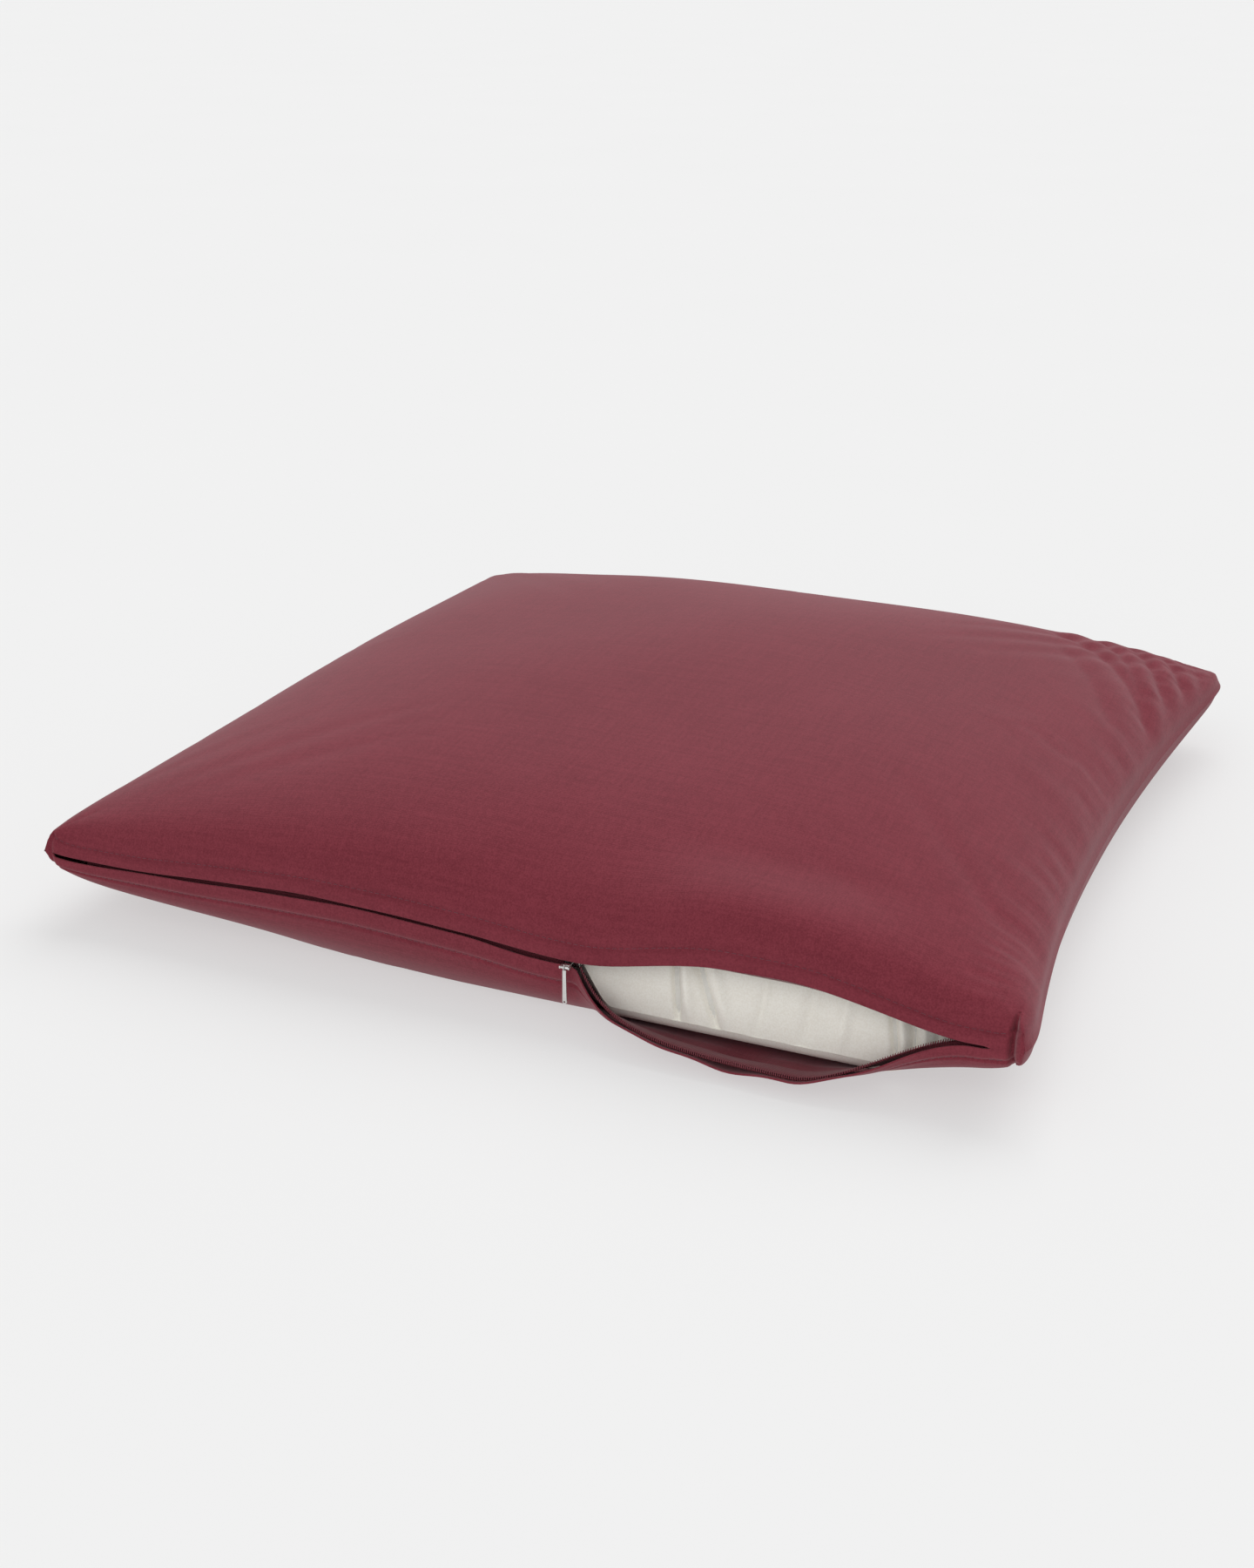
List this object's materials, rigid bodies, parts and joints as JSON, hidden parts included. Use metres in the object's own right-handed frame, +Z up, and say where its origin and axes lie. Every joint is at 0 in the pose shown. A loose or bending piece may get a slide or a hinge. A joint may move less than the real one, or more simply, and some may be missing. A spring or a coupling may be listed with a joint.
{
  "type": "floor cushion",
  "caption": "Square knife-edge floor cushion: woven cover with a concealed zip along one edge, part open over a cotton-cased inner cushion.",
  "frame": {"origin": "on the floor under the middle of the cushion, at the centre of the square cover", "axes": "+Z up, -Y towards the zip edge, +X to the right along the zip, the way it closes"},
  "size_m": [0.7, 0.709, 0.1379],
  "materials": {
    "cover_cloth": "matte plain weave of linen and cotton with fine slubs, burgundy plum",
    "cover_thread": "twisted polyester sewing thread in the cover's colour",
    "zip_tape": "fine herringbone zip tape, dark wine",
    "zip_coil": "nylon coil, dark wine",
    "zip_metal": "nickel-plated zinc, lightly brushed",
    "inner_cotton": "plain off-white cotton, lightly creased",
    "fibre_filling": "lofted white polyester fibre"
  },
  "bodies": {
    "cushion": {"cover_top_panel": "cover_cloth", "cover_bottom_panel": "cover_cloth", "cover_side_seam_thread": "cover_thread", "welt_stitching_upper": "cover_thread", "welt_stitching_lower": "cover_thread", "zip_tape_upper_closed": "zip_tape", "zip_tape_upper_open": "zip_tape", "zip_tape_lower_closed": "zip_tape", "zip_coil_upper_closed": "zip_coil", "zip_coil_upper_open": "zip_coil", "zip_coil_lower_closed": "zip_coil", "zip_bottom_stop": "zip_metal", "zip_top_stops": "zip_metal", "inner_case_top": "inner_cotton", "inner_case_bottom": "inner_cotton", "inner_seam_thread": "inner_cotton", "inner_filling": "fibre_filling"},
    "slider": {"zip_slider_body": "zip_metal", "zip_slider_bridge": "zip_metal"},
    "pull": {"zip_pull": "zip_metal"},
    "lower_lip": {"cover_lower_lip": "cover_cloth", "lip_stitching": "cover_thread", "zip_tape_lower_open": "zip_tape", "zip_coil_lower_open": "zip_coil"}
  },
  "joints": [
    {"name": "zip_slide", "type": "slide", "parent": "cushion", "child": "slider", "axis": [1, 0, 0], "range_m": [0, 0.247], "deforming": ["zip_tape_upper_open", "zip_coil_upper_open"]},
    {"name": "pull_swing", "type": "hinge", "parent": "slider", "child": "pull", "pos_m": [0.053, -0.3408, 0.046], "axis": [-1, 0, 0], "range_deg": [-8, 165]},
    {"name": "lower_lip_rise", "type": "slide", "parent": "cushion", "child": "lower_lip", "axis": [0, 0.4671, 0.8842], "range_m": [0, 0.06004], "deforming": ["cover_lower_lip", "lip_stitching", "zip_tape_lower_open", "zip_coil_lower_open"]}
  ],
  "couplings": [
    {"joint": "lower_lip_rise", "follows": "zip_slide", "ratio": 0.24268}
  ]
}
